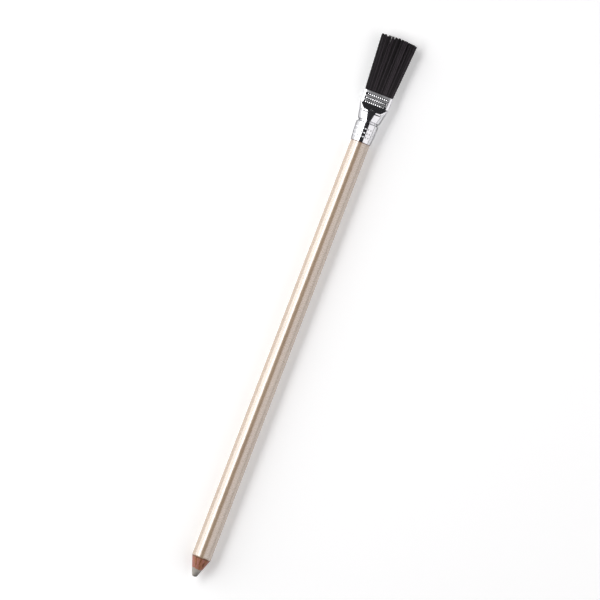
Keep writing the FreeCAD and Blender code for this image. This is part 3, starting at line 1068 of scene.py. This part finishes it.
def floor_material(settings):
    """Pale floor. The picture and reflections see it a little lighter than it is lit."""
    material = bpy.data.materials.new("pale_floor")
    material.use_nodes = True
    tree = material.node_tree
    tree.nodes.clear()
    cloud = even_noise(tree, 3.0, 2.0)
    tone = ramp(tree, cloud, [(0.3, toned(settings.floor_colour, 0.985)), (0.7, settings.floor_colour)])
    lit = add_node(tree, "BsdfDiffuse", Color=tone)
    path = add_node(tree, "LightPath").outputs
    seen = arithmetic(tree, "MAXIMUM", path["Is Camera Ray"], path["Is Glossy Ray"])
    seen = arithmetic(tree, "MAXIMUM", seen, path["Is Transmission Ray"])
    strength = arithmetic(tree, "MULTIPLY", seen, settings.floor_glow)
    glow = add_node(tree, "Emission", Color=rgba(WHITE), Strength=strength)
    both = add_node(tree, "AddShader")
    for socket, shader in zip(both.inputs, (lit.outputs["BSDF"], glow.outputs["Emission"])):
        tree.links.new(shader, socket)
    add_node(tree, "OutputMaterial", Surface=both.outputs["Shader"])
    return material


def add_floor(settings):
    half = settings.floor_half_width
    mesh = bpy.data.meshes.new("floor")
    corners = [(-half, -half, 0), (half, -half, 0), (half, half, 0), (-half, half, 0)]
    mesh.from_pydata(corners, [], [(0, 1, 2, 3)])
    mesh.materials.append(floor_material(settings))
    floor = bpy.data.objects.new("floor", mesh)
    bpy.context.scene.collection.objects.link(floor)


def add_lamp(settings, name, radiance, colour, high_angle, low_angle):
    """A long soft lamp beside the pencil, between two angles in degrees from straight up to the left."""
    edges = [
        settings.lamp_distance * Vector((0, math.sin(angle), math.cos(angle)))
        for angle in (math.radians(high_angle), math.radians(low_angle))
    ]
    width = (edges[0] - edges[1]).length
    data = bpy.data.lights.new(name, "AREA")
    data.shape = "RECTANGLE"
    data.size = settings.lamp_length
    data.size_y = width
    data.energy = radiance * math.pi * settings.lamp_length * width
    data.color = colour
    lamp = bpy.data.objects.new(name, data)
    along = Vector((1, 0, 0))
    middle = (edges[0] + edges[1]) / 2
    back = middle.normalized()
    lamp.location = middle + settings.lamp_x * along
    lamp.rotation_mode = "QUATERNION"
    lamp.rotation_quaternion = Matrix((along, back.cross(along), back)).transposed().to_quaternion()
    lamp.visible_camera = False
    bpy.context.scene.collection.objects.link(lamp)


def set_world():
    """A dark room, pale only near the horizon on the left of the pencil."""
    world = bpy.data.worlds.new("studio")
    world.use_nodes = True
    tree = world.node_tree
    tree.nodes.clear()
    place = add_node(tree, "TexCoord")
    parts = add_node(tree, "SeparateXYZ", Vector=place.outputs["Generated"])
    pale = toned(WHITE, 0.93)
    dark = (0.03, 0.03, 0.032)
    heights = [(0.0, dark), (0.1, dark), (0.13, pale), (0.2, pale), (0.36, dark)]
    band = ramp(tree, parts.outputs["Z"], heights)
    on_left = mapped(tree, parts.outputs["Y"], 0.0, 1.0, 0.75, 0.85)
    tone = blended(tree, on_left, rgba(dark), band)
    back = add_node(tree, "Background", Color=tone, Strength=1.0)
    add_node(tree, "OutputWorld", Surface=back.outputs["Background"])
    bpy.context.scene.world = world


def add_camera(settings):
    """A camera straight above the pencil, which leans in the picture."""
    data = bpy.data.cameras.new("camera")
    camera = bpy.data.objects.new("camera", data)
    bpy.context.scene.collection.objects.link(camera)
    to_axis = settings.camera_height - AXIS_HEIGHT * MM
    data.lens = data.sensor_width * to_axis / settings.seen_width
    nearest_seen = 0.01
    data.clip_start = nearest_seen
    camera.location = (settings.camera_x, 0, settings.camera_height)
    camera.rotation_euler = (0, 0, settings.pencil_lean - math.pi / 2)
    bpy.context.scene.camera = camera


class PENCIL_OT_add_stage(bpy.types.Operator):
    """Adds the floor, the lamps, the room and the camera"""

    bl_idname = "pencil.add_stage"
    bl_label = "Add Stage"

    def execute(self, context):
        settings = context.scene.pencil.studio
        add_floor(settings)
        key_top, key_foot, side_foot = 26, 44, 86
        fill_top, fill_foot = -20, -84
        add_lamp(settings, "key_lamp", settings.key_radiance, WHITE, key_top, key_foot)
        add_lamp(settings, "side_lamp", settings.side_radiance, WHITE, key_foot, side_foot)
        add_lamp(settings, "fill_lamp", settings.fill_radiance, settings.fill_colour, fill_top, fill_foot)
        set_world()
        add_camera(settings)
        context.scene.view_settings.view_transform = "Standard"
        return {"FINISHED"}


OPERATORS = (
    PENCIL_OT_add_eraser,
    PENCIL_OT_add_casing,
    PENCIL_OT_add_lacquer,
    PENCIL_OT_add_ferrule,
    PENCIL_OT_add_cement,
    PENCIL_OT_add_bristles,
    PENCIL_OT_add_stage,
)


class PENCIL_PT_sidebar(bpy.types.Panel):
    """Lists the pencil's pieces and their settings"""

    bl_idname = "PENCIL_PT_sidebar"
    bl_label = "Eraser Pencil"
    bl_space_type = "VIEW_3D"
    bl_region_type = "UI"
    bl_category = "Eraser Pencil"

    def draw(self, context):
        settings = context.scene.pencil
        for operator in OPERATORS:
            self.layout.operator(operator.bl_idname)
        for group in (settings.point, settings.lacquer, settings.ferrule, settings.tuft, settings.studio):
            box = self.layout.box()
            for name in type(group).__annotations__:
                box.prop(group, name)


CLASSES = (
    PointSettings,
    LacquerSettings,
    FerruleSettings,
    TuftSettings,
    StudioSettings,
    PencilSettings,
    *OPERATORS,
    PENCIL_PT_sidebar,
)


def register():
    for item in CLASSES:
        bpy.utils.register_class(item)
    bpy.types.Scene.pencil = PointerProperty(type=PencilSettings)


def unregister():
    del bpy.types.Scene.pencil
    for item in reversed(CLASSES):
        bpy.utils.unregister_class(item)


def main():
    register()
    for operator in OPERATORS:
        category, name = operator.bl_idname.split(".")
        getattr(getattr(bpy.ops, category), name)()


if __name__ == "__main__":
    main()
